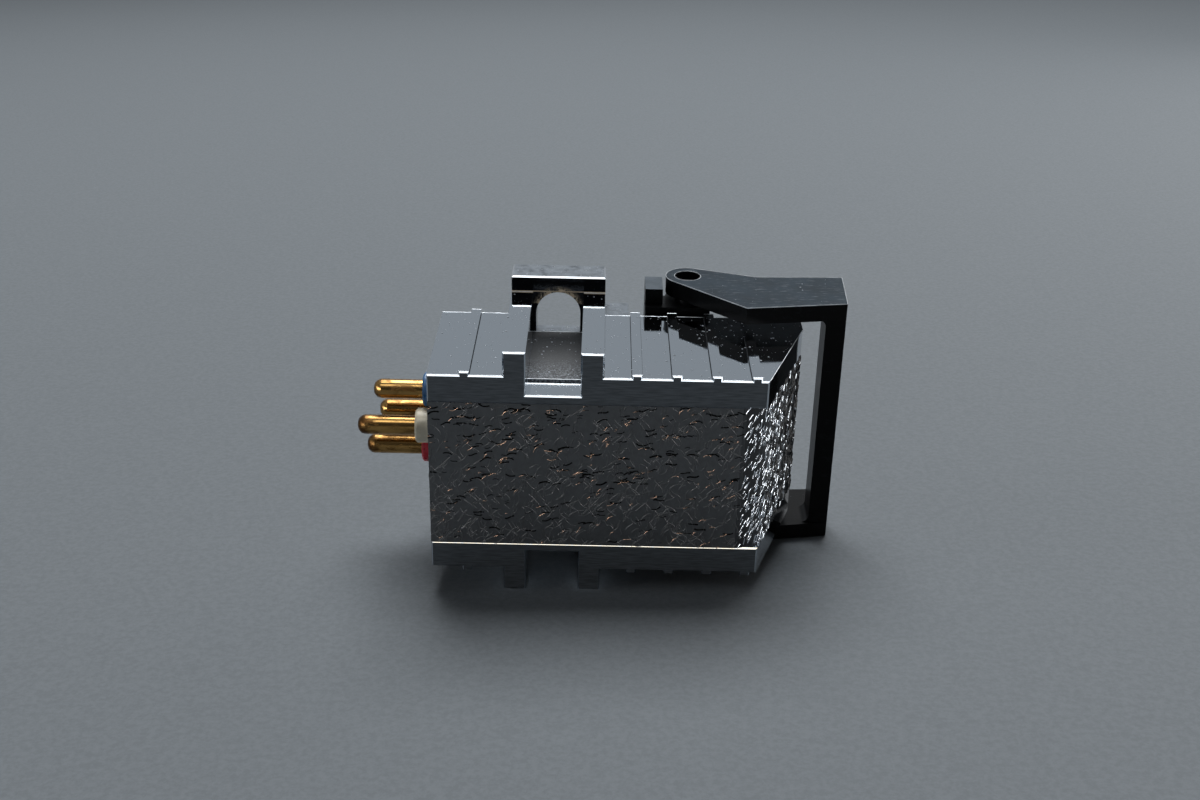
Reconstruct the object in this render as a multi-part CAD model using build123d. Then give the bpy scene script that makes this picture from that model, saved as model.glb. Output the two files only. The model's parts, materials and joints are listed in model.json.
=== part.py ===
from build123d import *
from itertools import combinations
import math
import os

# A moving-coil turntable cartridge that lies on its right side, in millimetres. X runs towards its front,
# Y from the headshell face towards the record and Z towards its left side. The origin is on the headshell
# face, midway between the two screws.

# Headshell screws
screw_spacing = 12.7
hole_width = 2.7  # round outwards of the screw, straight towards the body
hole_base = 1.7  # from the screw in to the hole's flat end

# Housing
rear_reach = 7.1  # from the screws back to the rear face
front_reach = 12.1  # from the screws to the front edge of the headshell face
nose_reach = 14.8  # from the screws to the nose
nose_height = 7.6  # from the headshell face to the end of the raked front
housing_height = 9.25
housing_width = 9.1
housing_wall = 0.75

# Side plates
plate_thickness = 1.7
plate_chamfer = 0.08
rib_width = 0.58
rib_height = 0.22
rib_pitch = 2.25
front_rib_count = 4
front_rib_start = 4.7  # from the screws to the first rib ahead of them
rear_rib_start = 5.0  # from the screws back to the rear rib
channel_width = 3.1
channel_wall = 1.3
channel_wall_height = 1.45
channel_floor = 0.53
channel_lip = 1.7
groove_width = 0.6
groove_depth = 0.28

# Mounting plate
mount_plate_thickness = 2.05
mount_plate_width = 10.4
ear_rim = 1.0
shoulder_step = 0.9  # from its front edge back to its shoulders

# Guard hinge
hinge_setback = 6.85  # from the nose back to the hinge
hinge_drop = 2.35  # from the housing's open edge to the hinge
hub_radius = 1.35
pivot_radius = 0.75
pivot_clearance = 0.07
pivot_recess = 0.5
pivot_root = 1.9

# Stylus guard
arm_gap = 0.75  # from the side plates to the arms
arm_thickness = 1.05
arm_chamfer = 0.1
bend_ahead = 3.3  # from the hinge to the bend of an arm's upper edge
bend_above = 5.15
elbow_ahead = 4.3  # from the hinge to the bend of an arm's lower edge
bar_gap = 1.35  # from the nose to the bar
bar_thickness = 1.2
bar_depth = 2.0
bar_above = 4.15  # from the hinge up to the bar's upper edge
bar_below = 0.25
bar_rake = 0.25
bar_corner = 0.5

# Guard carrier
carrier_gap = 0.1  # from the mounting plate
carrier_thickness = 1.9
carrier_setback = 2.1  # from the nose back to its front
carrier_wall = 0.4
throat_width = 5.75
throat_gap = 0.27  # from the rear yoke
cheek_gap = 0.38  # from the side plates, and from the housing's open edge
cheek_clearance = 0.3
stop_clearance = 0.2
stop_drop = 0.6  # from the cheeks' upper edge
stop_depth = 2.15
stop_height = 0.95

# Generator, set along the cantilever
cantilever_angle = 25.0
generator_setback = 4.7  # from the nose back to the coils
generator_drop = 2.15  # from the housing's open edge to the coils
yoke_half_width = 2.5
yoke_top = 5.75  # from the cantilever's axis
yoke_bottom = 1.55
rear_yoke_back = 4.05  # from the coils
rear_yoke_thickness = 0.85
rear_yoke_bottom = 1.05
front_yoke_front = 0.3
front_yoke_thickness = 1.15
front_yoke_bore = 1.2
magnet_bottom = 1.85
pole_radius = 0.8
damper_thickness = 0.5
former_thickness = 0.4
former_arm = 1.0
former_arm_width = 0.4
coil_thickness = 0.15
coil_start = 0.42
coil_length = 0.5
damper_gap = 0.08  # on each side of the damper, so that the stylus can tilt
suspension_radius = 0.06
suspension_clearance = 0.04
clamp_screw_radius = 0.4
clamp_screw_slot = 0.14
cantilever_length = 4.8
cantilever_root_radius = 0.25
cantilever_end_radius = 0.18
stylus_setback = 0.2
stylus_radius = 0.12
stylus_shank = 0.35
stylus_point = 0.2
stylus_point_radius = 0.02
holder_rear_slope = 0.8
holder_front_gap = 0.22

# Terminals: each colour's offset along Y and Z from their centre, its collar and its bare pin
terminal_rise = 1.95  # from the housing's open edge
terminals = {
    "white": (-1.15, 0.0, 1.45, 3.55),
    "blue": (0.0, 1.9, 1.05, 3.05),
    "red": (0.0, -1.9, 1.2, 3.45),
    "green": (1.15, 0.0, 0.95, 3.0),
}
pin_radius = 0.6
pin_nose = 0.48
pin_shank_radius = 0.43
pin_tail = 0.4
collar_gap = 0.09
collar_chamfer = 0.12
block_thickness = 1.9
block_margin = 1.15  # from the uppermost pin
block_side_gap = 0.3
block_flange = 0.35

# Lead wires
wire_radius = 0.1
wire_bend = 0.95
wire_straight = 1.7
wire_landing = 2.9
landing_spread = 0.4
landing_corner = {"white": (-1, 1), "blue": (1, 1), "red": (-1, -1), "green": (1, -1)}  # along Y and Z

fit = 0.02  # radial play of pieces that are pressed or glued together

# Worked-out places
plate_inner = housing_width / 2
plate_outer = plate_inner + plate_thickness
hinge_reach = nose_reach - hinge_setback
hinge_y = housing_height + hinge_drop
arm_inner = plate_outer + arm_gap
arm_outer = arm_inner + arm_thickness
cheek_outer = arm_inner - cheek_clearance
front_rake = (nose_reach - front_reach) / nose_height
generator_x = nose_reach - generator_setback
generator_y = housing_height + generator_drop
generator = Plane(
    origin=(generator_x, generator_y, 0),
    x_dir=(math.cos(math.radians(cantilever_angle)), math.sin(math.radians(cantilever_angle)), 0),
    z_dir=(0, 0, 1),
)
yoke_rear = generator.from_local_coords((-rear_yoke_back, rear_yoke_bottom, 0)).X
carrier_rear = yoke_rear - throat_gap - carrier_wall
mount_plate_reach = carrier_rear - carrier_gap
terminal_centre = housing_height - terminal_rise
pin_places = [(dy, dz) for dy, dz, collar, bare in terminals.values()]
collar_radius = (min(math.dist(a, b) for a, b in combinations(pin_places, 2)) - collar_gap) / 2
block_top = terminal_centre + min(pin_places)[0] - block_margin
block_width = housing_width - 2 * (housing_wall + block_flange + block_side_gap)


def strip(x0, x1, y0, y1):
    return Pos((x0 + x1) / 2, (y0 + y1) / 2) * Rectangle(x1 - x0, y1 - y0)


def across(sketch, half_width):
    return extrude(sketch, half_width, both=True)


def along_y(sketch, y0, y1):
    # A sketch of X and Z, drawn out from y0 to y1
    return Pos(0, y0, 0) * extrude(Plane.XZ * sketch, -(y1 - y0))


def rod_x(radius, x0, x1):
    return Pos((x0 + x1) / 2, 0, 0) * Rot(0, 90, 0) * Cylinder(radius, x1 - x0)


def front_at(y):
    return front_reach + front_rake * y


def inner_front_at(y, inset):
    return front_at(y) - inset * math.hypot(1, front_rake)


def side_outline(inset, height):
    # The cartridge from its side, with its walls moved in square to themselves
    nose_start = (nose_reach - inset - inner_front_at(0, inset)) / front_rake
    return make_face(
        Polyline(
            (-rear_reach + inset, inset),
            (inner_front_at(inset, inset), inset),
            (nose_reach - inset, nose_start),
            (nose_reach - inset, height),
            (-rear_reach + inset, height),
            close=True,
        )
    )


def make_side_plate():
    section = strip(-rear_reach, nose_reach, plate_inner, plate_outer)
    ribs = [-rear_rib_start] + [front_rib_start + i * rib_pitch for i in range(front_rib_count)]
    for x in ribs:
        section += strip(x - rib_width / 2, x + rib_width / 2, plate_outer, plate_outer + rib_height)
    channel = channel_width / 2
    wall = channel + channel_wall
    wall_top = plate_outer + channel_wall_height
    section += strip(-wall, wall, plate_outer, wall_top)
    floor = plate_inner + channel_floor
    section -= strip(-channel, channel, floor, wall_top)
    plate = along_y(section, 0, housing_height)
    plate &= across(side_outline(0, housing_height), wall_top)
    groove = strip(-channel, channel, floor - groove_depth, floor)
    plate -= along_y(groove, channel_lip, channel_lip + groove_width)
    headshell_edges = plate.faces().sort_by(Axis.Y)[0].edges()
    return chamfer(headshell_edges, plate_chamfer)


def make_housing():
    shell = across(side_outline(0, housing_height), housing_width / 2)
    shell -= across(side_outline(housing_wall, housing_height), housing_width / 2 - housing_wall)
    window = strip(-rear_reach, -rear_reach + housing_wall, block_top, housing_height)
    return shell - across(window, block_width / 2)


def make_mount_plate():
    screw = screw_spacing / 2
    hole = hole_width / 2
    ear = screw + hole + ear_rim
    ear_side = channel_width / 2 + channel_wall
    outline = strip(-rear_reach, mount_plate_reach, -mount_plate_width / 2, mount_plate_width / 2)
    outline += strip(-ear_side, mount_plate_reach - shoulder_step, -plate_outer, plate_outer)
    outline += strip(-ear_side, ear_side, -ear, ear)
    for side in (-1, 1):
        outline -= Pos(0, side * screw) * Circle(hole)
        outline -= Pos(0, side * (screw - hole_base / 2)) * Rectangle(hole_width, hole_base)
    plate = along_y(outline, housing_height, housing_height + mount_plate_thickness)
    ear_edges = plate.faces().sort_by(Axis.Z)[-1].edges() + plate.faces().sort_by(Axis.Z)[0].edges()
    return chamfer(ear_edges, plate_chamfer)


def make_guard_carrier():
    rear = carrier_rear
    front = nose_reach - carrier_setback
    hub = (hinge_reach, hinge_y)
    floor = strip(rear, front, housing_height, housing_height + carrier_thickness)
    cheek_top = housing_height + cheek_gap
    cheeks = strip(rear, hinge_reach + hub_radius, cheek_top, hinge_y) + Pos(*hub) * Circle(hub_radius)
    stop_front = hinge_reach - hub_radius - stop_clearance
    stop_top = cheek_top + stop_drop
    stop = strip(rear, stop_front, stop_top, stop_top + stop_depth)
    carrier = across(floor, mount_plate_width / 2) + across(cheeks, cheek_outer)
    carrier += across(stop, cheek_outer + stop_height)
    depth = hinge_y + hub_radius
    carrier -= across(strip(rear + carrier_wall, front, housing_height, depth), throat_width / 2)
    for side in (-1, 1):
        socket = Pos(*hub, side * (cheek_outer - pivot_root / 2))
        carrier -= socket * Cylinder(pivot_radius + fit, pivot_root)
    return carrier


def make_guard_pin(side):
    root = cheek_outer - pivot_root
    end = arm_outer - pivot_recess
    return Pos(hinge_reach, hinge_y, side * (root + end) / 2) * Cylinder(pivot_radius, end - root)


def tangent_point(centre, radius, point, side):
    # Where a line from the point touches the circle, on the side asked for
    heading = math.atan2(point[1] - centre[1], point[0] - centre[0])
    swing = heading + side * math.acos(radius / math.dist(centre, point))
    return (centre[0] + radius * math.cos(swing), centre[1] + radius * math.sin(swing))


def make_stylus_guard():
    hub = (hinge_reach, hinge_y)
    bend = (hinge_reach + bend_ahead, hinge_y - bend_above)
    elbow = (hinge_reach + elbow_ahead, hinge_y)
    bar_back = nose_reach + bar_gap
    front = bar_back + bar_thickness
    bar_top = hinge_y - bar_above
    outline = make_face(
        Polyline(
            tangent_point(hub, hub_radius, bend, -1),
            bend,
            (front, bar_top),
            (front + bar_rake, hinge_y + bar_below),
            elbow,
            tangent_point(hub, hub_radius, elbow, 1),
            close=True,
        )
    )
    outline += Pos(*hub) * Circle(hub_radius)
    bar = outline & strip(bar_back, front + bar_rake, bar_top, bar_top + bar_depth)
    outline -= Pos(*hub) * Circle(pivot_radius + pivot_clearance)
    arm = Pos(0, 0, arm_inner) * extrude(outline, arm_thickness)
    guard = across(bar, arm_outer) + arm + mirror(arm, Plane.XY)
    inner_corners = guard.edges().filter_by(
        lambda e: abs(e.center().X - bar_back) < fit and abs(abs(e.center().Z) - arm_inner) < fit
    )
    guard = fillet(inner_corners, bar_corner)
    for face in (guard.faces().sort_by(Axis.Z)[-1], guard.faces().sort_by(Axis.Z)[0]):
        guard = chamfer(face.outer_wire().edges(), arm_chamfer)
    return guard


def make_generator():
    # Pieces in the plane of the cantilever: x runs along it from the coils, y away from the headshell
    pieces = {}
    yoke_face = rear_yoke_thickness - rear_yoke_back
    front_back = front_yoke_front - front_yoke_thickness
    coil_back = -former_thickness / 2 - coil_thickness
    damper_front = coil_back - damper_gap
    damper_back = damper_front - damper_thickness
    wire_hole = rod_x(suspension_radius + suspension_clearance, -rear_yoke_back, former_thickness)

    rear = across(strip(-rear_yoke_back, yoke_face, -yoke_top, rear_yoke_bottom), yoke_half_width)
    screw_x = yoke_face - rear_yoke_thickness / 2
    screw_length = rear_yoke_bottom - suspension_radius
    screw_place = Pos(screw_x, suspension_radius + screw_length / 2, 0) * Rot(90, 0, 0)
    rear -= screw_place * Cylinder(clamp_screw_radius + fit, screw_length)
    pieces["rear_yoke"] = rear - wire_hole
    screw = screw_place * Cylinder(clamp_screw_radius, screw_length)
    slot_place = Pos(screw_x, rear_yoke_bottom, 0)
    pieces["clamp_screw"] = screw - slot_place * Box(
        2 * clamp_screw_radius, 2 * clamp_screw_slot, clamp_screw_slot
    )

    front = across(strip(front_back, front_yoke_front, -yoke_top, yoke_bottom), yoke_half_width)
    pieces["front_yoke"] = front - rod_x(front_yoke_bore, front_back, front_yoke_front)
    pieces["magnet"] = across(strip(yoke_face, front_back, -yoke_top, -magnet_bottom), yoke_half_width)
    pieces["pole_piece"] = rod_x(pole_radius, yoke_face, damper_back - damper_gap) - wire_hole
    pieces["damper"] = rod_x(pole_radius, damper_back, damper_front) - wire_hole
    wire_end = -former_thickness / 2 - suspension_clearance
    pieces["suspension_wire"] = rod_x(suspension_radius, -rear_yoke_back, wire_end)

    former = Part()
    coils = {"coil_left": Part(), "coil_right": Part()}
    for i in range(4):
        turn = Rot(45 + 90 * i, 0, 0)
        former += turn * Pos(0, former_arm / 2, 0) * Box(former_thickness, former_arm, former_arm_width)
        turns = Box(
            former_thickness + 2 * coil_thickness, coil_length, former_arm_width + 2 * coil_thickness
        )
        turns -= Box(former_thickness + fit, coil_length, former_arm_width + fit)
        name = "coil_left" if i % 2 == 0 else "coil_right"
        coils[name] += turn * Pos(0, coil_start + coil_length / 2, 0) * turns
    pieces["coil_former"] = former
    pieces.update(coils)

    root = former_thickness / 2
    cone = Cone(cantilever_root_radius, cantilever_end_radius, cantilever_length)
    pieces["cantilever"] = Pos(root + cantilever_length / 2, 0, 0) * Rot(0, 90, 0) * cone
    stylus = Cylinder(stylus_radius, stylus_shank)
    stylus += Pos(0, 0, (stylus_shank + stylus_point) / 2) * Cone(
        stylus_radius, stylus_point_radius, stylus_point
    )
    stylus_x = root + cantilever_length - stylus_setback
    stylus_y = cantilever_end_radius + fit + stylus_shank / 2
    pieces["stylus_tip"] = Pos(stylus_x, stylus_y, 0) * Rot(-90, 0, 0) * stylus
    return {name: generator * piece for name, piece in pieces.items()}


def make_generator_holder():
    # Fills the space between the housing's inner wall and the top of the yokes
    rear_corner = generator.from_local_coords((-rear_yoke_back, -yoke_top, 0))
    front_corner = generator.from_local_coords((front_yoke_front, -yoke_top, 0))
    outline = make_face(
        Polyline(
            (rear_corner.X, rear_corner.Y),
            (front_corner.X, front_corner.Y),
            (inner_front_at(housing_wall, housing_wall) - holder_front_gap, housing_wall),
            (rear_corner.X - holder_rear_slope, housing_wall),
            close=True,
        )
    )
    return across(outline, yoke_half_width)


def make_terminal_block():
    outer = -rear_reach
    inner = outer + block_thickness
    seat = outer + housing_wall + fit
    half = block_width / 2
    plug = strip(outer, inner, block_top + fit, housing_height - fit)
    flange = strip(seat, inner, block_top - block_flange, housing_height - fit)
    block = across(plug, half - fit) + across(flange, half + block_flange)
    for dy, dz, collar, pin in terminals.values():
        block -= Pos(0, terminal_centre + dy, dz) * rod_x(pin_shank_radius + fit, outer, inner)
    return block


def make_terminal_pin(name):
    dy, dz, collar, bare = terminals[name]
    shoulder = -rear_reach - collar
    pin = rod_x(pin_radius, shoulder - bare, shoulder)
    pin = fillet(pin.edges().sort_by(Axis.X)[0], pin_nose)
    pin += rod_x(pin_shank_radius, shoulder, -rear_reach + block_thickness + pin_tail)
    return Pos(0, terminal_centre + dy, dz) * pin


def make_terminal_collar(name):
    dy, dz, collar, bare = terminals[name]
    sleeve = rod_x(collar_radius, -rear_reach - collar, -rear_reach)
    sleeve = chamfer(sleeve.edges().sort_by(Axis.X)[0], collar_chamfer)
    sleeve -= rod_x(pin_shank_radius + fit, -rear_reach - collar, -rear_reach)
    return Pos(0, terminal_centre + dy, dz) * sleeve


def make_lead_wire(name):
    # From the tail of a terminal pin to the flank of the rear yoke
    dy, dz, collar, bare = terminals[name]
    tail = -rear_reach + block_thickness + pin_tail
    down, side = landing_corner[name]
    depth = terminal_centre + down * landing_spread
    flank = side * (yoke_half_width + wire_radius + fit)
    slant = math.tan(math.radians(cantilever_angle))
    rear_face = generator_x - rear_yoke_back / math.cos(math.radians(cantilever_angle))
    end = rear_face - (depth - generator_y) * slant + rear_yoke_thickness / 2
    path = FilletPolyline(
        (tail, terminal_centre + dy, dz),
        (tail + wire_straight, terminal_centre + dy, dz),
        (end - wire_landing, depth, flank),
        (end, depth, flank),
        radius=wire_bend,
    )
    return sweep(Plane(path @ 0, z_dir=path % 0) * Circle(wire_radius), path)


parts = {
    "housing": make_housing(),
    "side_plate_left": make_side_plate(),
    "side_plate_right": mirror(make_side_plate(), Plane.XY),
    "mount_plate": make_mount_plate(),
    "guard_carrier": make_guard_carrier(),
    "guard_pin_left": make_guard_pin(1),
    "guard_pin_right": make_guard_pin(-1),
    "stylus_guard": make_stylus_guard(),
    "generator_holder": make_generator_holder(),
    "terminal_block": make_terminal_block(),
}
parts.update(make_generator())
for colour in terminals:
    parts["terminal_pin_" + colour] = make_terminal_pin(colour)
    parts["terminal_collar_" + colour] = make_terminal_collar(colour)
    parts["lead_wire_" + colour] = make_lead_wire(colour)

os.makedirs("parts", exist_ok=True)
for name, part in parts.items():
    part.label = name
    export_step(part, "parts/" + name + ".step")
    print(name, len(part.solids()), "solid(s)", round(part.volume, 3), "mm3")
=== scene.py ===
import json
import math

import bmesh
import bpy
from mathutils import Matrix, Vector


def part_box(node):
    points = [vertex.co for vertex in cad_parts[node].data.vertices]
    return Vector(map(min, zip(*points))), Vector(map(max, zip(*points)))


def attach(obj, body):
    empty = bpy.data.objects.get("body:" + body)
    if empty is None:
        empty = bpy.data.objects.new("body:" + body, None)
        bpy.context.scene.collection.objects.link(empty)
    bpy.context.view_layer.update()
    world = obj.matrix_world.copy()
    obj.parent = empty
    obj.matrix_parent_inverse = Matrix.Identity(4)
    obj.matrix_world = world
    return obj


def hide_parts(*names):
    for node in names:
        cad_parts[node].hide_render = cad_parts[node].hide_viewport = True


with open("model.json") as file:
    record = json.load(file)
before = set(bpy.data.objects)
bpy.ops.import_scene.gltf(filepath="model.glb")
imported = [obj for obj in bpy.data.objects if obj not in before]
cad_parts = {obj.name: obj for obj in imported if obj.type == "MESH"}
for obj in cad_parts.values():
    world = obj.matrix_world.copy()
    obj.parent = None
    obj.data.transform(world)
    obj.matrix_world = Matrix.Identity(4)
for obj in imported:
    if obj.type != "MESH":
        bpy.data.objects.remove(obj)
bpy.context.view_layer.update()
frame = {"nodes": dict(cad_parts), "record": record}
nodes = frame["nodes"]
mm = 0.001
print("frame loaded:", len(nodes), "pieces")


# node helpers

def feed(tree, socket, value):
    if isinstance(value, bpy.types.NodeSocket):
        tree.links.new(value, socket)
    else:
        socket.default_value = value


def addNode(tree, kind, settings=None, **inputs):
    made = tree.nodes.new(kind)
    for key, value in (settings or {}).items():
        setattr(made, key, value)
    for key, value in inputs.items():
        feed(tree, made.inputs[key.replace("_", " ")], value)
    return made


def calc(tree, operation, a, b=0.0, c=0.0):
    made = tree.nodes.new("ShaderNodeMath")
    made.operation = operation
    for socket, value in zip(made.inputs, (a, b, c)):
        feed(tree, socket, value)
    return made.outputs[0]


def times(tree, first, *others):
    for other in others:
        first = calc(tree, "MULTIPLY", first, other)
    return first


def unsigned(tree, value):
    return calc(tree, "ABSOLUTE", value)


def below(tree, value, limit):
    return calc(tree, "LESS_THAN", value, limit)


def above(tree, value, limit):
    return calc(tree, "GREATER_THAN", value, limit)


def between(tree, value, low, high):
    return times(tree, above(tree, value, low), below(tree, value, high))


def spread(tree, value, low, high, toLow=0.0, toHigh=1.0):
    # maps low..high to toLow..toHigh and stays inside
    made = addNode(tree, "ShaderNodeMapRange", {"interpolation_type": "SMOOTHSTEP"})
    for key, number in (("Value", value), ("From Min", low), ("From Max", high),
                        ("To Min", toLow), ("To Max", toHigh)):
        feed(tree, made.inputs[key], number)
    return made.outputs["Result"]


def mixColour(tree, factor, a, b):
    made = addNode(tree, "ShaderNodeMix", {"data_type": "RGBA"})
    for index, value in ((0, factor), (6, a), (7, b)):
        feed(tree, made.inputs[index], (*value, 1) if isinstance(value, tuple) else value)
    return made.outputs[2]


def mixValue(tree, factor, a, b):
    made = addNode(tree, "ShaderNodeMix", {"data_type": "FLOAT"})
    for index, value in ((0, factor), (2, a), (3, b)):
        feed(tree, made.inputs[index], value)
    return made.outputs[0]


def noise(tree, place, scale, detail=2.0, roughness=0.5, distortion=0.0):
    made = addNode(tree, "ShaderNodeTexNoise", Vector=place, Scale=scale, Detail=detail,
                   Roughness=roughness, Distortion=distortion)
    return made.outputs["Fac"]


def axes(tree, vector):
    return addNode(tree, "ShaderNodeSeparateXYZ", Vector=vector).outputs


def facing(tree):
    return axes(tree, tree.nodes.new("ShaderNodeTexCoord").outputs["Normal"])


def stretched(tree, place, x, y, z):
    return addNode(tree, "ShaderNodeMapping", Vector=place, Scale=(x, y, z)).outputs["Vector"]


def startMaterial(name):
    # gives the tree, its shader and the place on the piece in millimetres
    made = bpy.data.materials.new(name)
    made.use_nodes = True
    tree = made.node_tree
    shader = next(n for n in tree.nodes if n.type == "BSDF_PRINCIPLED")
    coords = tree.nodes.new("ShaderNodeTexCoord")
    place = stretched(tree, coords.outputs["Object"], 1 / mm, 1 / mm, 1 / mm)
    return made, tree, shader, place


def bump(tree, shader, height, strength, depth):
    # the depth is in millimetres
    made = addNode(tree, "ShaderNodeBump", Height=height, Strength=strength, Distance=depth * mm)
    tree.links.new(made.outputs["Normal"], shader.inputs["Normal"])


# materials

def makePlateMetal():
    # polished, but for the milled end faces and the dull channel floor, where the dust fades from the lip
    # towards the back as painted shade; the warm bright line at the lower seam and the bright line on the
    # lip's edge are painted highlights
    look = {"polish": (0.53, 0.575, 0.62), "satin": (0.085, 0.095, 0.105), "floor": (0.016, 0.018, 0.021),
            "floorDustAndLight": (0.22, 0.245, 0.27), "seamHighlight": (0.66, 0.60, 0.48), "lipHighlightColour": (0.80, 0.84, 0.88),
            "polishRough": (0.035, 0.075), "satinRough": 0.42, "floorRough": 0.55, "floorMetallic": 0.25,
            "milledDepth": 0.004, "seamBand": (-4.66, -4.42), "seamDepth": 0.09, "seamHighlightBreaks": (0.25, 1.0),
            "floorStart": 2.2, "dustAndShadeEnd": 5.64, "dustShare": (0.08, 0.85), "floorHeight": 5.11,
            "channelHalf": 1.54, "lipEdge": 1.7, "lipHighlightWidth": 0.16, "wave": 1.6, "bump": (0.15, 0.03)}
    made, tree, shader, place = startMaterial("sidePlateMetal")
    spot = axes(tree, place)
    x, y, z = spot["X"], spot["Y"], spot["Z"]
    milled = below(tree, y, look["milledDepth"])
    marks = noise(tree, stretched(tree, place, 0.5, 6, 6), 2.0, 3.0)
    tone = spread(tree, marks, 0.3, 0.7, 0.8, 1.2)
    satin = addNode(tree, "ShaderNodeVectorMath", {"operation": "SCALE"}, Scale=tone)
    satin.inputs[0].default_value = look["satin"]
    metal = mixColour(tree, milled, look["polish"], satin.outputs[0])

    inChannel = times(tree, below(tree, unsigned(tree, x), look["channelHalf"]),
                      below(tree, unsigned(tree, z), look["floorHeight"]))
    behindLip = times(tree, above(tree, y, look["floorStart"]), inChannel)
    grain = noise(tree, place, 9.0, 3.0, 0.7)
    # painted shade: the dust is paler and thicker near the lip and fades to the dark floor towards the back
    # of the channel
    near = spread(tree, y, look["dustAndShadeEnd"], look["floorStart"], *look["dustShare"])
    dustAndLight = times(tree, spread(tree, grain, 0.42, 0.66), near)
    dull = mixColour(tree, dustAndLight, look["floor"], look["floorDustAndLight"])
    metal = mixColour(tree, behindLip, metal, dull)

    # painted highlight: a warm bright line along the lower seam, broken by noise
    nearEdge = calc(tree, "SUBTRACT", below(tree, y, look["seamDepth"]), milled)
    seamHighlightGaps = spread(tree, noise(tree, place, 2.6, 3.0, 0.7), 0.36, 0.56, *look["seamHighlightBreaks"])
    seamHighlight = times(tree, between(tree, z, *look["seamBand"]), nearEdge, seamHighlightGaps)
    metal = mixColour(tree, seamHighlight, metal, look["seamHighlight"])
    # painted highlight: a bright line on the edge of the lip at the near end of the channel, with ragged
    # breaks
    ragged = spread(tree, grain, 0.35, 0.65, 0.0, look["lipHighlightWidth"])
    fromLip = unsigned(tree, calc(tree, "SUBTRACT", y, look["lipEdge"]))
    lipHighlight = times(tree, below(tree, fromLip, ragged), inChannel)
    metal = mixColour(tree, lipHighlight, metal, look["lipHighlightColour"])
    feed(tree, shader.inputs["Base Color"], metal)
    feed(tree, shader.inputs["Metallic"], mixValue(tree, behindLip, 1.0, look["floorMetallic"]))
    shine = spread(tree, noise(tree, place, 0.35, 4.0), 0.35, 0.75, *look["polishRough"])
    rough = mixValue(tree, calc(tree, "MAXIMUM", milled, lipHighlight), shine, look["satinRough"])
    feed(tree, shader.inputs["Roughness"], mixValue(tree, behindLip, rough, look["floorRough"]))
    wave = times(tree, noise(tree, stretched(tree, place, 1, 0.6, 1), 0.55, 1.0), look["wave"])
    relief = mixValue(tree, behindLip, wave, grain)
    bump(tree, shader, calc(tree, "ADD", times(tree, marks, milled), relief), *look["bump"])
    return made


def makeLacquer():
    # dark grey gloss with a soft mottle; the raked front is painted nearly black between its crests, as
    # painted shade
    look = {"base": (0.088, 0.0945, 0.101), "pale": (0.112, 0.120, 0.128), "rakedShade": (0.006, 0.0065, 0.0075),
            "rough": 0.30, "hollowRough": 0.14, "specular": 0.90, "rakedFrom": (0.02, 0.12),
            "mottleRelief": 0.2, "bump": (1.0, 0.05)}
    made, tree, shader, place = startMaterial("crinkleLacquer")
    shader.inputs["Specular IOR Level"].default_value = look["specular"]
    raked = spread(tree, facing(tree)["X"], *look["rakedFrom"])
    mottle = noise(tree, place, 2.2, 4.0, 0.6)
    plain = mixColour(tree, spread(tree, mottle, 0.35, 0.65), look["base"], look["pale"])
    # painted shade: what faces the raked way is nearly black
    feed(tree, shader.inputs["Base Color"], mixColour(tree, raked, plain, look["rakedShade"]))
    feed(tree, shader.inputs["Roughness"], mixValue(tree, raked, look["rough"], look["hollowRough"]))
    folds = noise(tree, stretched(tree, place, 4.0, 4.0, 1.5), 1.0, 2.0, 0.55, 0.8)
    relief = mixValue(tree, raked, times(tree, mottle, look["mottleRelief"]), folds)
    bump(tree, shader, relief, *look["bump"])
    return made


def makeGuardPlastic():
    # black, with fine scratches on what faces up and a bluish painted sheen over them there, paler on the
    # stop
    look = {"base": (0.0022, 0.0023, 0.0026), "film": (0.027, 0.044, 0.061), "scratch": (0.15, 0.175, 0.20),
            "stopSheen": (0.15, 0.185, 0.22), "stopFront": 6.4, "sheenAbove": 7.0, "sheenShare": (0.6, 1.0),
            "scratchShare": (0.03, 0.75), "rough": 0.30, "filmRough": 0.45, "specular": 0.08,
            "bump": (0.12, 0.02)}
    made, tree, shader, place = startMaterial("guardPlastic")
    scratches = noise(tree, stretched(tree, place, 0.7, 4.5, 2), 1.8, 4.0, 0.65)
    patches = noise(tree, place, 0.45, 4.0, 0.6)
    spot = axes(tree, place)
    # painted sheen: what faces up gets a bluish film over its real scratches
    top = times(tree, spread(tree, facing(tree)["Z"], 0.6, 0.9), above(tree, spot["Z"], look["sheenAbove"]))
    sheenAndScuffs = times(tree, top, spread(tree, patches, 0.25, 0.65, *look["sheenShare"]))
    film = mixColour(tree, below(tree, spot["X"], look["stopFront"]), look["film"], look["stopSheen"])
    colour = mixColour(tree, sheenAndScuffs, look["base"], film)
    share = spread(tree, top, 0.0, 1.0, *look["scratchShare"])
    fine = times(tree, spread(tree, scratches, 0.54, 0.70), share)
    feed(tree, shader.inputs["Base Color"], mixColour(tree, fine, colour, look["scratch"]))
    feed(tree, shader.inputs["Roughness"], mixValue(tree, sheenAndScuffs, look["rough"], look["filmRough"]))
    shader.inputs["Specular IOR Level"].default_value = look["specular"]
    grain = calc(tree, "ADD", noise(tree, place, 6.0, 2.0), scratches)
    bump(tree, shader, grain, *look["bump"])
    return made


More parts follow.
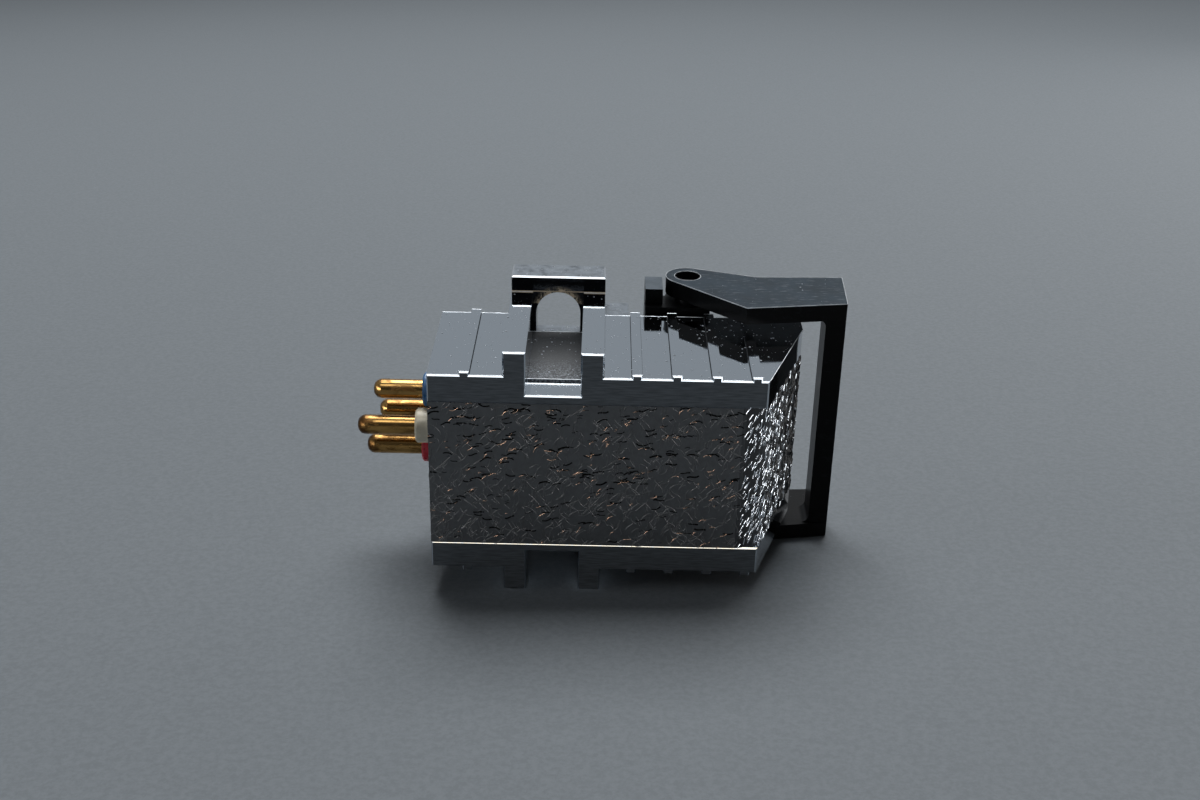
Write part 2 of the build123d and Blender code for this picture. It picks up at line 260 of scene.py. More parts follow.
def makeGilding():
    # thin gold with a brown patina that gathers at the tips and in streaks
    look = {"gold": (0.46, 0.27, 0.09), "patina": (0.085, 0.040, 0.013), "rough": (0.17, 0.37),
            "tip": (-10.4, -12.2), "tipStain": 0.28, "bump": (0.10, 0.02)}
    made, tree, shader, place = startMaterial("gildedBrass")
    stain = noise(tree, stretched(tree, place, 0.7, 2, 2), 1.1, 4.0, 0.65, 0.6)
    tip = spread(tree, axes(tree, place)["X"], *look["tip"], 0.0, look["tipStain"])
    film = spread(tree, calc(tree, "ADD", stain, tip), 0.40, 0.74)
    feed(tree, shader.inputs["Base Color"], mixColour(tree, film, look["gold"], look["patina"]))
    shader.inputs["Metallic"].default_value = 1.0
    feed(tree, shader.inputs["Roughness"], spread(tree, film, 0.0, 1.0, *look["rough"]))
    bump(tree, shader, noise(tree, stretched(tree, place, 0.3, 4, 4), 2.0, 3.0), *look["bump"])
    return made


def makeMountMetal():
    # black gloss, dusty on top, with bare tan marks where the holes were cut and a painted highlight on the
    # bevels that tilt up
    look = {"gloss": (0.035, 0.037, 0.041), "dust": (0.17, 0.205, 0.24), "bare": (0.62, 0.50, 0.36),
            "bevel": (0.72, 0.75, 0.78), "rough": 0.07, "bareRough": 0.35, "dustRough": 0.6,
            "dustShare": (0.35, 0.95), "bevelHighlightTilt": (0.5, 0.85), "levelTilt": (0.85, 0.95),
            "holeHeight": 6.35, "markStart": 0.6, "marks": (1.80, 1.40), "faceDepth": 9.26,
            "line": (7.72, 7.77), "bump": (0.08, 0.02)}
    made, tree, shader, place = startMaterial("mountPlateMetal")
    spot = axes(tree, place)
    up = facing(tree)["Z"]
    cover = spread(tree, noise(tree, place, 1.6, 6.0, 0.75), 0.25, 0.7, *look["dustShare"])
    dust = times(tree, spread(tree, up, *look["levelTilt"]), cover)
    colour = mixColour(tree, dust, look["gloss"], look["dust"])
    level = unsigned(tree, spot["Z"])
    rise = calc(tree, "SUBTRACT", level, look["holeHeight"])
    squares = [calc(tree, "POWER", side, 2.0) for side in (spot["X"], rise)]
    away = calc(tree, "SQRT", calc(tree, "ADD", *squares))
    onFace = below(tree, spot["Y"], look["faceDepth"])
    chips = spread(tree, noise(tree, stretched(tree, place, 3, 1, 1.2), 2.0, 3.0, 0.7), 0.36, 0.54)
    overHole = above(tree, rise, look["markStart"])
    marks = times(tree, spread(tree, away, *look["marks"]), onFace, overHole, chips)
    line = times(tree, between(tree, level, *look["line"]), onFace)
    bare = calc(tree, "MAXIMUM", marks, line)
    colour = mixColour(tree, bare, colour, look["bare"])
    # painted highlight: the bevels that tilt up are painted near white
    colour = mixColour(tree, between(tree, up, *look["bevelHighlightTilt"]), colour, look["bevel"])
    feed(tree, shader.inputs["Base Color"], colour)
    feed(tree, shader.inputs["Metallic"], calc(tree, "SUBTRACT", 1.0, dust))
    rough = mixValue(tree, bare, look["rough"], look["bareRough"])
    feed(tree, shader.inputs["Roughness"], mixValue(tree, dust, rough, look["dustRough"]))
    bump(tree, shader, noise(tree, place, 7.0, 3.0), *look["bump"])
    return made


def makePlainMetal(name, colour, rough):
    look = {"pale": 1.12, "dark": 0.88, "roughSpread": 0.04, "bump": (0.03, 0.01)}
    made, tree, shader, place = startMaterial(name)
    grain = noise(tree, stretched(tree, place, 1, 6, 6), 1.5, 3.0)
    pale = tuple(min(1.0, look["pale"] * c) for c in colour)
    dark = tuple(look["dark"] * c for c in colour)
    feed(tree, shader.inputs["Base Color"], mixColour(tree, grain, dark, pale))
    shader.inputs["Metallic"].default_value = 1.0
    roughs = (rough - look["roughSpread"], rough + look["roughSpread"])
    feed(tree, shader.inputs["Roughness"], spread(tree, grain, 0.3, 0.7, *roughs))
    bump(tree, shader, grain, *look["bump"])
    return made


def makePlainPlastic(name, colour, rough):
    look = {"dark": 0.78, "smoother": 0.05, "rougher": 0.08, "bump": (0.06, 0.01)}
    made, tree, shader, place = startMaterial(name)
    mottle = noise(tree, place, 1.3, 3.0)
    dark = tuple(look["dark"] * c for c in colour)
    feed(tree, shader.inputs["Base Color"], mixColour(tree, spread(tree, mottle, 0.3, 0.7), dark, colour))
    roughs = (rough - look["smoother"], rough + look["rougher"])
    feed(tree, shader.inputs["Roughness"], spread(tree, mottle, 0.3, 0.7, *roughs))
    bump(tree, shader, noise(tree, place, 7.0, 2.0), *look["bump"])
    return made


def makeStrokeFinish(name, colour, metallic, rough, specular):
    made, tree, shader, place = startMaterial(name)
    shade = noise(tree, place, 1.4, 2.0)
    dark = tuple(0.6 * c for c in colour)
    feed(tree, shader.inputs["Base Color"], mixColour(tree, spread(tree, shade, 0.3, 0.7), dark, colour))
    shader.inputs["Metallic"].default_value = metallic
    shader.inputs["Roughness"].default_value = rough
    shader.inputs["Specular IOR Level"].default_value = specular
    return made


finishes = {
    "side_plate": makePlateMetal(),
    "housing_lacquer": makeLacquer(),
    "guard_plastic": makeGuardPlastic(),
    "terminal_pin": makeGilding(),
    "mount_plate": makeMountMetal(),
    "guard_pin": makePlainMetal("hingePinSteel", (0.10, 0.10, 0.105), 0.4),
    "holder": makePlainMetal("holderAluminium", (0.5, 0.5, 0.52), 0.35),
    "yoke": makePlainMetal("yokeIron", (0.42, 0.42, 0.43), 0.3),
    "small_steel": makePlainMetal("brightSteel", (0.5, 0.5, 0.52), 0.25),
    "magnet": makePlainMetal("magnetNickel", (0.2, 0.2, 0.21), 0.35),
    "copper": makePlainMetal("enamelledCopper", (0.62, 0.27, 0.12), 0.3),
    "cantilever": makePlainMetal("cantileverAluminium", (0.62, 0.63, 0.66), 0.25),
    "terminal_block": makePlainPlastic("terminalBlockPlastic", (0.03, 0.03, 0.033), 0.45),
    "damper": makePlainPlastic("damperRubber", (0.015, 0.015, 0.015), 0.7),
    "coil_former": makePlainPlastic("formerPlastic", (0.6, 0.56, 0.45), 0.4),
    "collar_white": makePlainPlastic("creamCollar", (1.0, 0.92, 0.72), 0.3),
    "collar_blue": makePlainPlastic("blueCollar", (0.03, 0.16, 0.40), 0.3),
    "collar_red": makePlainPlastic("redCollar", (0.78, 0.018, 0.05), 0.3),
    "collar_green": makePlainPlastic("greenCollar", (0.02, 0.20, 0.06), 0.3),
    "stylus_tip": makePlainPlastic("stylusDiamond", (0.75, 0.76, 0.8), 0.1),
}
for part in frame["record"]["subparts"]:
    piece = nodes[part["node"]]
    piece.data.materials.clear()
    piece.data.materials.append(finishes[part["material_slot"]])
print("materials set:", len(finishes))


# crinkle of the lacquer with painted dashes, glints and sheen, dust, and edge lines of wear, painted
# highlight and painted shade, grown by Geometry Nodes

def startTree(name, inputs, result):
    # a tree that takes faces and named inputs, given by kind
    tree = bpy.data.node_groups.new(name, "GeometryNodeTree")
    sockets = [("Faces", "Geometry")] + [(key, kind) for kind, keys in inputs.items() for key in keys]
    for key, kind in sockets:
        tree.interface.new_socket(key, in_out="INPUT", socket_type="NodeSocket" + kind)
    tree.interface.new_socket(result, in_out="OUTPUT", socket_type="NodeSocketGeometry")
    return tree, tree.nodes.new("NodeGroupInput").outputs


def coat(tree, geometry, material):
    # the last node of each tree
    coated = addNode(tree, "GeometryNodeSetMaterial", Geometry=geometry, Material=material)
    feed(tree, tree.nodes.new("NodeGroupOutput").inputs[0], coated.outputs[0])


def realized(tree, geometry):
    return addNode(tree, "GeometryNodeRealizeInstances", Geometry=geometry).outputs[0]


def position(tree):
    return axes(tree, tree.nodes.new("GeometryNodeInputPosition").outputs[0])


def triple(tree, **parts):
    return addNode(tree, "ShaderNodeCombineXYZ", **parts).outputs[0]


def makeStrokeTree():
    # strewn over each face: short bent ridges that lie in the face
    tree, given = startTree("lacquerStrokes", {
        "Float": ("Density", "Shortest", "Longest", "Slimness", "Bend", "Relief", "Lean", "Lean Spread",
                  "Shift", "Share Below", "Share Above", "Half Height", "Rear", "Front Edge", "Rake", "Skin"),
        "Int": ("Seed", "Share Seed"), "Material": ("Lacquer",)}, "Strokes")
    scatter = addNode(tree, "GeometryNodeDistributePointsOnFaces", Mesh=given["Faces"],
                      Density=given["Density"], Seed=given["Seed"])

    def chance(low, high, seed):
        made = addNode(tree, "FunctionNodeRandomValue", {"data_type": "FLOAT"})
        feed(tree, made.inputs[2], low)
        feed(tree, made.inputs[3], high)
        feed(tree, made.inputs["Seed"], seed)
        return made.outputs[1]

    height = calc(tree, "DIVIDE", position(tree)["Z"], given["Half Height"])
    share = spread(tree, height, -1.0, 1.0, given["Share Below"], given["Share Above"])
    leftOut = above(tree, chance(0.0, 1.0, given["Share Seed"]), share)
    kept = addNode(tree, "GeometryNodeDeleteGeometry", {"domain": "POINT"},
                   Geometry=scatter.outputs["Points"], Selection=leftOut)

    # six ways to bend, one unit long: the heights of the two handles
    bends = ((0.20, 0.20), (-0.26, 0.16), (0.12, -0.22), (0.34, 0.08), (-0.16, -0.26), (0.05, -0.02))
    ring = addNode(tree, "GeometryNodeCurvePrimitiveCircle", Resolution=4, Radius=given["Slimness"])
    along = tree.nodes.new("GeometryNodeSplineParameter").outputs["Factor"]
    rest = calc(tree, "SUBTRACT", 1.0, along)
    belly = calc(tree, "SQRT", times(tree, 4.0, times(tree, along, rest)))
    choices = tree.nodes.new("GeometryNodeGeometryToInstance")
    for first, second in bends:
        path = addNode(tree, "GeometryNodeCurvePrimitiveBezierSegment", Resolution=7, Start=(-0.5, 0, 0),
                       Start_Handle=(-0.2, 0, first), End_Handle=(0.2, 0, second), End=(0.5, 0, 0))
        taper = addNode(tree, "GeometryNodeSetCurveRadius", Curve=path.outputs[0], Radius=belly)
        stroke = addNode(tree, "GeometryNodeCurveToMesh", Curve=taper.outputs[0],
                         Profile_Curve=ring.outputs[0])
        feed(tree, choices.inputs[0], stroke.outputs[0])

    length = chance(given["Shortest"], given["Longest"], 11)
    wander = times(tree, chance(-1.0, 1.0, 12), given["Lean Spread"])
    lean = triple(tree, Y=calc(tree, "ADD", given["Lean"], wander))
    flat = addNode(tree, "FunctionNodeAlignRotationToVector", {"axis": "Y", "pivot_axis": "Z"},
                   Vector=scatter.outputs["Normal"])
    leaning = addNode(tree, "FunctionNodeEulerToRotation", Euler=lean).outputs[0]
    turn = addNode(tree, "FunctionNodeRotateRotation", {"rotation_space": "LOCAL"},
                   Rotation=flat.outputs[0], Rotate_By=leaning).outputs[0]
    step = triple(tree, X=times(tree, length, given["Shift"]))
    aside = addNode(tree, "FunctionNodeRotateVector", Vector=step, Rotation=turn)
    moved = addNode(tree, "GeometryNodeSetPosition", Geometry=kept.outputs[0], Offset=aside.outputs[0])
    scale = triple(tree, X=length, Y=calc(tree, "DIVIDE", given["Relief"], given["Slimness"]),
                   Z=times(tree, length, given["Bend"]))
    pick = addNode(tree, "FunctionNodeRandomValue", {"data_type": "INT"})
    pick.inputs[4].default_value, pick.inputs[5].default_value = 0, len(bends) - 1
    placed = addNode(tree, "GeometryNodeInstanceOnPoints", Points=moved.outputs[0],
                     Instance=choices.outputs[0], Pick_Instance=True, Instance_Index=pick.outputs[2],
                     Rotation=turn, Scale=scale)
    strokes = realized(tree, placed.outputs[0])
    # what hangs over an edge of the housing is cut off
    end = position(tree)
    ahead = calc(tree, "SUBTRACT", end["X"], times(tree, given["Rake"], end["Y"]))
    over = [calc(tree, "SUBTRACT", unsigned(tree, end["Z"]), given["Half Height"]),
            calc(tree, "SUBTRACT", given["Rear"], end["X"]),
            calc(tree, "SUBTRACT", ahead, given["Front Edge"]),
            calc(tree, "SUBTRACT", 0.0, end["Y"])]
    most = over[0]
    for other in over[1:]:
        most = calc(tree, "MAXIMUM", most, other)
    trimmed = addNode(tree, "GeometryNodeDeleteGeometry", {"domain": "POINT"}, Geometry=strokes,
                      Selection=above(tree, most, given["Skin"]))
    coat(tree, trimmed.outputs[0], given["Lacquer"])
    return tree


def grow(name, mesh, tree, values, body):
    # runs the tree on the mesh and leaves a plain mesh that rides on the body
    source = bpy.data.objects.new(name, mesh)
    bpy.context.scene.collection.objects.link(source)
    modifier = source.modifiers.new("grown", "NODES")
    modifier.node_group = tree
    sockets = {item.name: item.identifier for item in tree.interface.items_tree if item.in_out == "INPUT"}
    for key, value in values.items():
        modifier[sockets[key]] = value
    grown = bpy.data.meshes.new_from_object(source.evaluated_get(bpy.context.evaluated_depsgraph_get()))
    source.modifiers.clear()
    source.data = grown
    for polygon in grown.polygons:
        polygon.use_smooth = True
    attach(source, body)
    print(name, len(grown.polygons), "faces")
    return source


def makeHousing(shell):
    # the CAD housing with its front edge rounded, as the lacquer leaves it
    shape = bmesh.new()
    shape.from_mesh(nodes["housing"].data)
    bmesh.ops.remove_doubles(shape, verts=shape.verts, dist=1e-6)
    bmesh.ops.dissolve_limit(shape, angle_limit=0.01, verts=shape.verts, edges=shape.edges)
    corner = Vector((shell["frontEdge"], 0))
    edges = [e for e in shape.edges if all((v.co.xy - corner).length < 1e-5 for v in e.verts)]
    bmesh.ops.bevel(shape, geom=edges, offset=shell["setback"], offset_type="OFFSET",
                    segments=shell["steps"], profile=0.5, affect="EDGES")
    mesh = bpy.data.meshes.new("lacqueredHousing")
    shape.to_mesh(mesh)
    shape.free()
    mesh.materials.append(finishes["housing_lacquer"])
    piece = bpy.data.objects.new("lacqueredHousing", mesh)
    bpy.context.scene.collection.objects.link(piece)
    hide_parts("housing")
    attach(piece, "body")


def roundedEdge(shell):
    # points along the rounded edge, from the headshell face to the raked front
    rake = math.atan2(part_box("housing")[1][0] - shell["frontEdge"], shell["rakeDepth"])
    turn = math.pi / 2 - rake
    radius = shell["setback"] / math.tan(turn / 2)
    centre = Vector((shell["frontEdge"] - shell["setback"], radius))
    angles = (i * turn / shell["steps"] for i in range(shell["steps"] + 1))
    return [(centre.x + radius * math.sin(a), centre.y - radius * math.cos(a)) for a in angles]


def lacquerFaces(shell, first, last):
    # the faces of the housing that show: rear, headshell face, rounded edge and raked front
    low, high = (Vector(corner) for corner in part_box("housing"))
    nose = Vector((high.x, shell["rakeDepth"]))
    middle = Vector(shell["edge"][-1]).lerp(nose, shell["nearShare"])
    profile = [(low.x, shell["rearDepth"]), (low.x, 0), *shell["edge"], middle, nose]
    shape = bmesh.new()
    for (x0, y0), (x1, y1) in list(zip(profile, profile[1:]))[first:last]:
        corners = [(x0, y0, low.z), (x1, y1, low.z), (x1, y1, high.z), (x0, y0, high.z)]
        shape.faces.new([shape.verts.new(corner) for corner in corners])
    mesh = bpy.data.meshes.new("lacquerFaces")
    shape.to_mesh(mesh)
    shape.free()
    return mesh


def makeCrinkle():
    shell = {"frontEdge": 12.1 * mm, "rakeDepth": 7.6 * mm, "rearDepth": 4.7 * mm, "skin": 0.03 * mm,
             "setback": 1.35 * mm, "steps": 10, "nearShare": 0.5}
    shell["edge"] = roundedEdge(shell)
    makeHousing(shell)
    # worms, dashes and glints on the rear and the headshell face; the black dashes are painted shade and the
    # copper glints painted reflections
    strokes = {
        "lacquerWorms": {
            "Density": 7.0e6, "Seed": 4, "Shortest": 0.4 * mm, "Longest": 1.05 * mm, "Slimness": 0.04,
            "Bend": 1.0, "Relief": 0.014 * mm, "Lean": 1.45, "Lean Spread": 1.1, "Shift": 0.0,
            "Share Below": 1.0, "Share Above": 0.7, "Share Seed": 1,
            "Lacquer": makeStrokeFinish("paleLacquer", (0.14, 0.148, 0.157), 0.0, 0.28, 0.85)},
        # painted shade: black dashes where the wrinkles' slopes would mirror the dark
        "lacquerShadeDashes": {
            "Density": 3.2e6, "Seed": 9, "Shortest": 0.16 * mm, "Longest": 0.7 * mm, "Slimness": 0.08,
            "Bend": 1.0, "Relief": 0.02 * mm, "Lean": 0.06, "Lean Spread": 0.26, "Shift": 0.0,
            "Share Below": 0.2, "Share Above": 0.95, "Share Seed": 2,
            "Lacquer": makeStrokeFinish("dashShadePaint", (0.0012, 0.0011, 0.001), 0.0, 0.7, 0.05)},
        # painted reflections: copper glints at the ends of the dashes
        "copperGlints": {
            "Density": 3.2e6, "Seed": 9, "Shortest": 0.14 * mm, "Longest": 0.5 * mm, "Slimness": 0.04,
            "Bend": 1.0, "Relief": 0.025 * mm, "Lean": 0.5, "Lean Spread": 0.5, "Shift": 0.72,
            "Share Below": 0.2, "Share Above": 0.38, "Share Seed": 5,
            "Lacquer": makeStrokeFinish("copperGlintPaint", (0.80, 0.52, 0.36), 1.0, 0.25, 0.5)},
    }
    tree = makeStrokeTree()
    low, high = (Vector(corner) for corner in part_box("housing"))
    bounds = {"Half Height": high.z, "Rear": low.x, "Front Edge": shell["frontEdge"], "Skin": shell["skin"],
              "Rake": (high.x - shell["frontEdge"]) / shell["rakeDepth"]}
    for name, values in strokes.items():
        grow(name, lacquerFaces(shell, 0, 2), tree, {**values, **bounds}, "body")
    # crests on the rounded edge and the raked front, pale mirrors as a painted sheen, with black folds
    # between them as painted shade
    crests = {"Seed": 3, "Shortest": 0.14 * mm, "Longest": 0.5 * mm, "Slimness": 0.3, "Bend": 0.35,
              "Relief": 0.05 * mm, "Lean": 1.15, "Lean Spread": 0.25, "Shift": 0.0,
              "Share Below": 1.0, "Share Above": 0.8, "Share Seed": 6,
              # painted sheen: the crests are pale mirrors on the dark lacquer
              "Lacquer": makeStrokeFinish("crestSheenMirror", (0.86, 0.90, 0.95), 1.0, 0.12, 0.5)}
    bounds.update({"Skin": 2 * crests["Relief"], "Rear": shell["frontEdge"] - shell["setback"]})
    for name, density, faces in (("edgeCrests", 1.3e7, (3, -2)), ("frontCrests", 7.5e6, (-2, -1)),
                                 ("noseCrests", 2.2e6, (-1, None))):
        grow(name, lacquerFaces(shell, *faces), tree, {**crests, **bounds, "Density": density}, "body")
    # painted shade: the folds are darker than the lacquer of the headshell face
    folds = {**crests, "Density": 1.2e7, "Seed": 8, "Longest": 0.65 * mm, "Share Above": 1.0,
             "Lacquer": makeStrokeFinish("foldShadeLacquer", (0.012, 0.013, 0.015), 0.0, 0.16, 0.5)}
    grow("frontFolds", lacquerFaces(shell, -2, None), tree, {**folds, **bounds}, "body")


def makeFleckTree():
    # small flat grains, strewn over faces
    tree, given = startTree("dustFlecks", {"Float": ("Density", "Smallest", "Largest", "Flatness"),
                                           "Int": ("Seed",), "Material": ("Dust",)}, "Flecks")
    scatter = addNode(tree, "GeometryNodeDistributePointsOnFaces", Mesh=given["Faces"],
                      Density=given["Density"], Seed=given["Seed"])
    grain = addNode(tree, "GeometryNodeMeshIcoSphere", Radius=1.0, Subdivisions=1)
    drawn = addNode(tree, "FunctionNodeRandomValue", {"data_type": "FLOAT"}, Seed=21)
    share = calc(tree, "POWER", drawn.outputs[1], 3.0)  # mostly small
    growth = calc(tree, "SUBTRACT", given["Largest"], given["Smallest"])
    width = calc(tree, "ADD", given["Smallest"], times(tree, share, growth))
    scale = triple(tree, X=width, Y=width, Z=times(tree, width, given["Flatness"]))
    placed = addNode(tree, "GeometryNodeInstanceOnPoints", Points=scatter.outputs["Points"],
                     Instance=grain.outputs["Mesh"], Scale=scale)
    coat(tree, realized(tree, placed.outputs[0]), given["Dust"])
    return tree


def makeEdgeTree():
    # thin lines along the borders of faces, broken by noise: worn lines, painted highlights and painted shade
    tree, given = startTree("edgeWearHighlightShade", {
        "Float": ("Width", "Step", "Breakup Size", "Breakup", "Seed", "Least Depth", "Most Depth", "Rear"),
        "Material": ("Coat",)}, "Edges")
    ends = tree.nodes.new("GeometryNodeInputMeshEdgeVertices").outputs
    run = addNode(tree, "ShaderNodeVectorMath", {"operation": "SUBTRACT"})
    feed(tree, run.inputs[0], ends["Position 2"])
    feed(tree, run.inputs[1], ends["Position 1"])
    way = addNode(tree, "ShaderNodeVectorMath", {"operation": "NORMALIZE"})
    feed(tree, way.inputs[0], run.outputs[0])
    # depth is 1 for lines that run straight away from the headshell face
    depth = unsigned(tree, axes(tree, way.outputs[0])["Y"])
    sides = tree.nodes.new("GeometryNodeInputMeshEdgeNeighbors").outputs["Face Count"]
    wanted = times(tree, below(tree, sides, 1.5), below(tree, depth, given["Most Depth"]),
                   above(tree, depth, given["Least Depth"]), above(tree, position(tree)["X"], given["Rear"]))
    border = addNode(tree, "GeometryNodeMeshToCurve", Mesh=given["Faces"], Selection=wanted)
    fine = addNode(tree, "GeometryNodeResampleCurve", {"mode": "LENGTH"}, Curve=border.outputs[0],
                   Length=given["Step"])
    scaled = addNode(tree, "ShaderNodeVectorMath", {"operation": "SCALE"},
                     Scale=calc(tree, "DIVIDE", 1.0, given["Breakup Size"]))
    feed(tree, scaled.inputs[0], tree.nodes.new("GeometryNodeInputPosition").outputs[0])
    rub = addNode(tree, "ShaderNodeTexNoise", {"noise_dimensions": "4D"}, Vector=scaled.outputs[0],
                  W=given["Seed"], Scale=1.0, Detail=4.0, Roughness=0.7).outputs[0]
    left = calc(tree, "SUBTRACT", 1.0, given["Breakup"])
    fade = 0.08  # how soon a line runs out
    width = spread(tree, rub, calc(tree, "SUBTRACT", left, fade), calc(tree, "ADD", left, fade))
    drawn = addNode(tree, "GeometryNodeSetCurveRadius", Curve=fine.outputs[0], Radius=width)
    ring = addNode(tree, "GeometryNodeCurvePrimitiveCircle", Resolution=4, Radius=given["Width"])
    line = addNode(tree, "GeometryNodeCurveToMesh", Curve=drawn.outputs[0], Profile_Curve=ring.outputs[0])
    coat(tree, realized(tree, line.outputs[0]), given["Coat"])
    return tree


def facesUp(name, lowest=-1.0, highest=1.0):
    # a copy of the level tops of a piece, between two heights
    shape = bmesh.new()
    mesh = nodes[name].data
    for polygon in mesh.polygons:
        if polygon.normal.z > 0.99 and lowest < polygon.center.z < highest:
            shape.faces.new([shape.verts.new(mesh.vertices[i].co) for i in polygon.vertices])
    bmesh.ops.remove_doubles(shape, verts=shape.verts, dist=1e-7)
    tops = bpy.data.meshes.new("tops")
    shape.to_mesh(tops)
    shape.free()
    return tops


def makeDust():
    dust = {"Smallest": 0.012 * mm, "Largest": 0.07 * mm, "Flatness": 0.4,
            "Dust": makeStrokeFinish("houseDust", (0.62, 0.66, 0.72), 0.0, 0.8, 0.2)}
    places = {"plateDust": ("side_plate_left", 3.6e6, 2, "body"),
              "earDust": ("mount_plate", 9.0e6, 5, "body"),
              "guardDust": ("stylus_guard", 0.5e6, 7, "guard")}
    tree = makeFleckTree()
    for name, (piece, density, seed, body) in places.items():
        grow(name, facesUp(piece), tree, {**dust, "Density": density, "Seed": seed}, body)


def makeEdgeWearHighlightShade():
    # painted highlights as bright lines across the plate, worn lines round the guard's top, and painted shade
    # in the corners along the ribs
    # painted highlights: pale metal lines along the plate's borders
    metal = makeStrokeFinish("edgeHighlightMetal", (0.80, 0.84, 0.88), 1.0, 0.35, 0.5)
    plastic = makeStrokeFinish("rubbedPlastic", (0.58, 0.63, 0.68), 0.0, 0.5, 0.3)
    # painted shade: dark lines in the corners at the feet of the ribs
    cornerShade = makeStrokeFinish("ribCornerShade", (0.014, 0.016, 0.019), 0.0, 0.6, 0.1)
    ribFeet = (6.2 * mm, 6.3 * mm)  # just below and above the plate's top
    plateLines = {"Width": 0.016 * mm, "Step": 0.12 * mm, "Breakup Size": 1.2 * mm, "Breakup": 0.6, "Seed": 1.0,
                  "Least Depth": -1.0, "Most Depth": 0.97, "Rear": -1.0, "Coat": metal}
    ribLines = {**plateLines, "Width": 0.03 * mm, "Breakup": 0.75, "Seed": 6.0, "Least Depth": 0.97,
                "Most Depth": 2.0, "Rear": -6.0 * mm, "Coat": cornerShade}
    guardLines = {"Width": 0.03 * mm, "Step": 0.06 * mm, "Breakup Size": 0.5 * mm, "Breakup": 0.52, "Seed": 4.0,
                  "Least Depth": -1.0, "Most Depth": 2.0, "Rear": -1.0, "Coat": plastic}
    tree = makeEdgeTree()
    grow("plateEdgeHighlights", facesUp("side_plate_left"), tree, plateLines, "body")
    grow("ribShade", facesUp("side_plate_left", *ribFeet), tree, ribLines, "body")
    grow("guardEdges", facesUp("stylus_guard", 0.0), tree, guardLines, "guard")


makeCrinkle()
makeDust()
makeEdgeWearHighlightShade()


# stage, light and camera

def makeFloor():
    # the plane that the legs, the lower ear and the guard touch
    floor = {"size": 3.0, "colour": (0.226, 0.252, 0.275), "fibre": 0.86, "rough": 0.9, "specular": 0.2,
             "guardDrop": 1.65 * mm}
    leg, ear, guard = (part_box(node) for node in ("side_plate_right", "mount_plate", "stylus_guard"))
    a = Vector((0, leg[0][1], leg[0][2]))
    c = Vector((0, leg[1][1], ear[0][2]))
    b = Vector((guard[1][0], leg[1][1] - floor["guardDrop"], guard[0][2]))
    normal = (b - a).cross(c - a).normalized()
    mesh = bpy.data.meshes.new("floor")
    shape = bmesh.new()
    bmesh.ops.create_grid(shape, x_segments=1, y_segments=1, size=floor["size"] / 2)
    turn = normal.to_track_quat("Z", "Y").to_matrix().to_4x4()
    bmesh.ops.transform(shape, matrix=Matrix.Translation(a) @ turn, verts=shape.verts)
    shape.to_mesh(mesh)
    shape.free()
    piece = bpy.data.objects.new("floor", mesh)
    bpy.context.scene.collection.objects.link(piece)
    made, tree, shader, place = startMaterial("palePaper")
    fibre = spread(tree, noise(tree, place, 2.6, 4.0, 0.8), 0.35, 0.65)
    dark = tuple(floor["fibre"] * c for c in floor["colour"])
    feed(tree, shader.inputs["Base Color"], mixColour(tree, fibre, dark, floor["colour"]))
    shader.inputs["Roughness"].default_value = floor["rough"]
    shader.inputs["Specular IOR Level"].default_value = floor["specular"]
    mesh.materials.append(made)


def makeLights():
    # the key stands behind and throws the shadow towards the camera, and the side one fills it a little
    # the others only show as reflections, on the near chamfers, the crests of the front and the polish
    lights = {
        "keySoftbox": {"place": (0.0, 0.285, 0.50), "size": (0.34, 0.42), "power": 3.12, "fills": True},
        "sideSoftbox": {"place": (-0.40, -0.08, 0.12), "size": (0.14, 0.14), "power": 0.15, "fills": True},
        "edgeSoftbox": {"place": (0.0, -0.103, 0.22), "size": (0.26, 0.08), "power": 0.15, "fills": False},
        "crestSoftbox": {"place": (0.265, -0.25, 0.06), "size": (0.38, 0.15), "power": 1.15, "fills": False},
        "glintSoftbox": {"place": (-0.28, -0.27, 0.09), "size": (0.26, 0.16), "power": 0.80, "fills": False},
        "frontSoftbox": {"place": (0.21, 0.195, 0.10), "size": (0.22, 0.18), "power": 0.62, "fills": False},
    }
    aim = Vector((0.004, 0.005, 0.0))
    for name, light in lights.items():
        lamp = bpy.data.lights.new(name, "AREA")
        lamp.shape = "RECTANGLE"
        lamp.size, lamp.size_y = light["size"]
        lamp.energy = light["power"]
        piece = bpy.data.objects.new(name, lamp)
        piece.location = light["place"]
        piece.rotation_euler = (aim - Vector(light["place"])).to_track_quat("-Z", "Y").to_euler()
        piece.visible_diffuse = light["fills"]
        bpy.context.scene.collection.objects.link(piece)


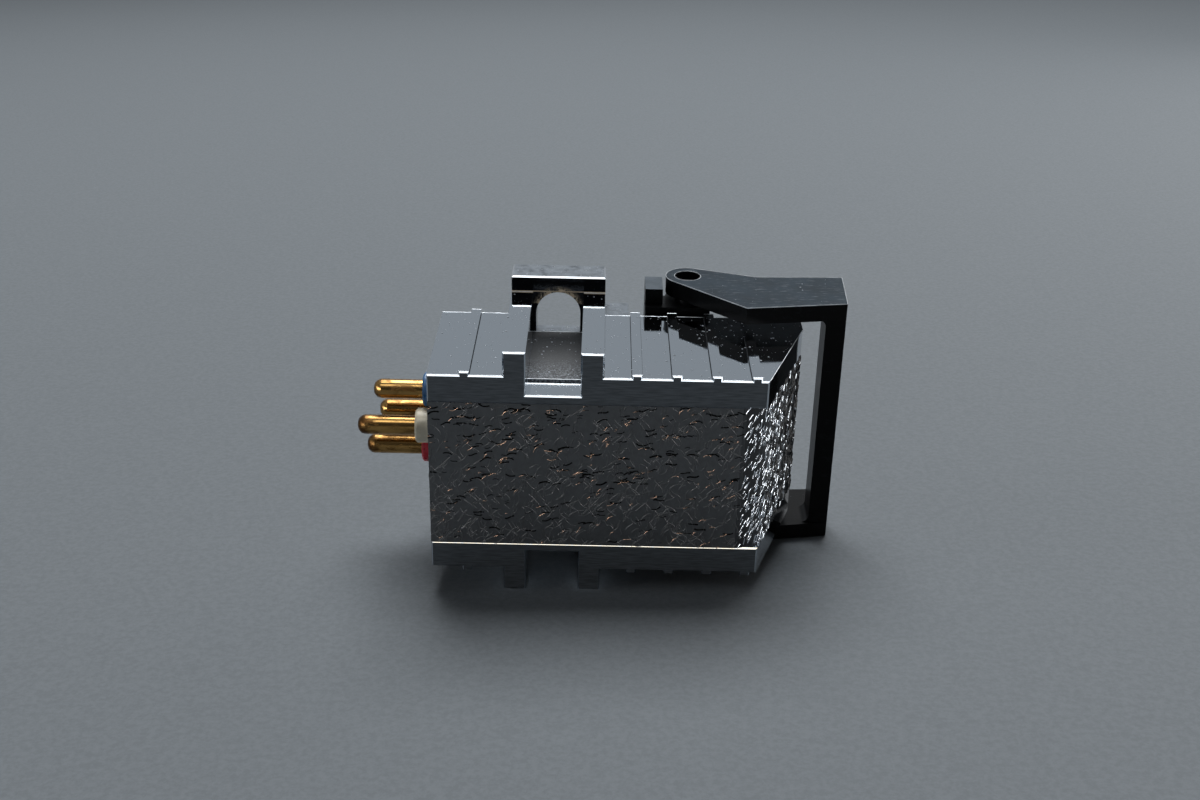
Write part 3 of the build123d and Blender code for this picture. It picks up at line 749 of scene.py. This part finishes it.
def makeWorld():
    # dim in front and pale behind, as the polished metal shows it
    sky = {"front": (0.035, 0.037, 0.040), "back": (0.36, 0.385, 0.41), "turn": (-0.5, 0.9), "matt": 0.06}
    world = bpy.data.worlds.new("softRoom")
    bpy.context.scene.world = world
    world.use_nodes = True
    tree = world.node_tree
    ground = next(n for n in tree.nodes if n.type == "BACKGROUND")
    way = axes(tree, tree.nodes.new("ShaderNodeTexCoord").outputs["Generated"])
    away = spread(tree, calc(tree, "ADD", way["Y"], way["Z"]), *sky["turn"])
    feed(tree, ground.inputs["Color"], mixColour(tree, away, sky["front"], sky["back"]))
    # metal mirrors the whole room, and matt surfaces get less of it, so that the shadow stays deep
    ray = tree.nodes.new("ShaderNodeLightPath").outputs
    mirrored = calc(tree, "MAXIMUM", ray["Is Glossy Ray"], ray["Is Transmission Ray"])
    mirrored = calc(tree, "MAXIMUM", ray["Is Camera Ray"], mirrored)
    feed(tree, ground.inputs["Strength"], mixValue(tree, mirrored, sky["matt"], 1.0))


def makeCamera():
    # found from the object's corners in the photo, as seen in a picture 1200 pixels wide
    view = {"place": (2.426, -76.769, 41.699), "pitch": 25.6, "yaw": 0.165, "roll": 1.31,
            "focalPixels": 1514.85, "widthPixels": 1200}
    pitch, yaw, roll = (math.radians(view[key]) for key in ("pitch", "yaw", "roll"))
    ahead = Vector((math.sin(yaw) * math.cos(pitch), math.cos(yaw) * math.cos(pitch), -math.sin(pitch)))
    side = Vector((math.cos(yaw), -math.sin(yaw), 0))
    over = side.cross(ahead)
    right = side * math.cos(roll) + over * math.sin(roll)
    up = over * math.cos(roll) - side * math.sin(roll)
    data = bpy.data.cameras.new("camera")
    data.sensor_width = 36
    data.lens = data.sensor_width * view["focalPixels"] / view["widthPixels"]
    data.clip_start, data.clip_end = 0.005, 10
    camera = bpy.data.objects.new("camera", data)
    turn = Matrix((right, up, -ahead)).transposed().to_4x4()
    camera.matrix_world = Matrix.Translation(Vector(view["place"]) * mm) @ turn
    bpy.context.scene.collection.objects.link(camera)
    bpy.context.scene.camera = camera


makeFloor()
makeLights()
makeWorld()
makeCamera()
bpy.context.scene.view_settings.view_transform = "Standard"
print("stage, light and camera set")
